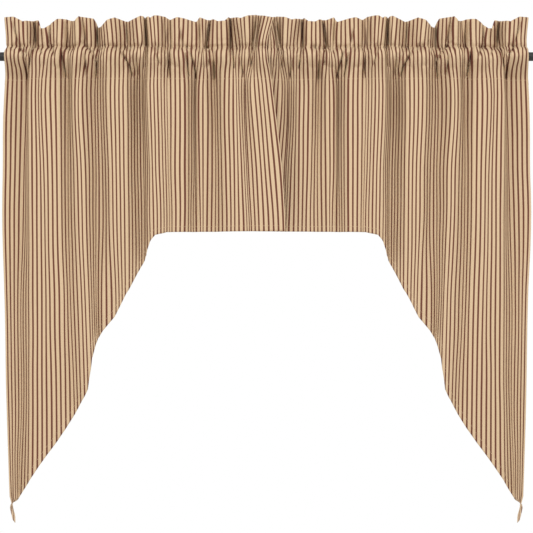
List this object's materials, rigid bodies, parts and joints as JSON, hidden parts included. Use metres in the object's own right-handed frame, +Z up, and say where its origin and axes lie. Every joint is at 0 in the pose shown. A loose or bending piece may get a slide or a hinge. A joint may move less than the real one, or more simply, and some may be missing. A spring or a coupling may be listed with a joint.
{
  "type": "swag and tail drape on a rod",
  "caption": "Gathered cloth panels on a straight rod, with a ruffled heading above the rod pocket, a short swag at the middle and a long slanted tail at each side",
  "frame": {"origin": "the middle of the rod's axis", "axes": "+X along the rod, to the right of someone facing the drape; +Y into the window, away from them; +Z up"},
  "size_m": [1.01, 0.0742, 0.9187],
  "materials": {
    "rod": "satin black paint",
    "cloth": "woven cotton ticking, tan ground with narrow dark red-brown stripes"
  },
  "bodies": {
    "root": {"rod": "rod", "panel_left": "cloth", "panel_right": "cloth"}
  },
  "joints": []
}
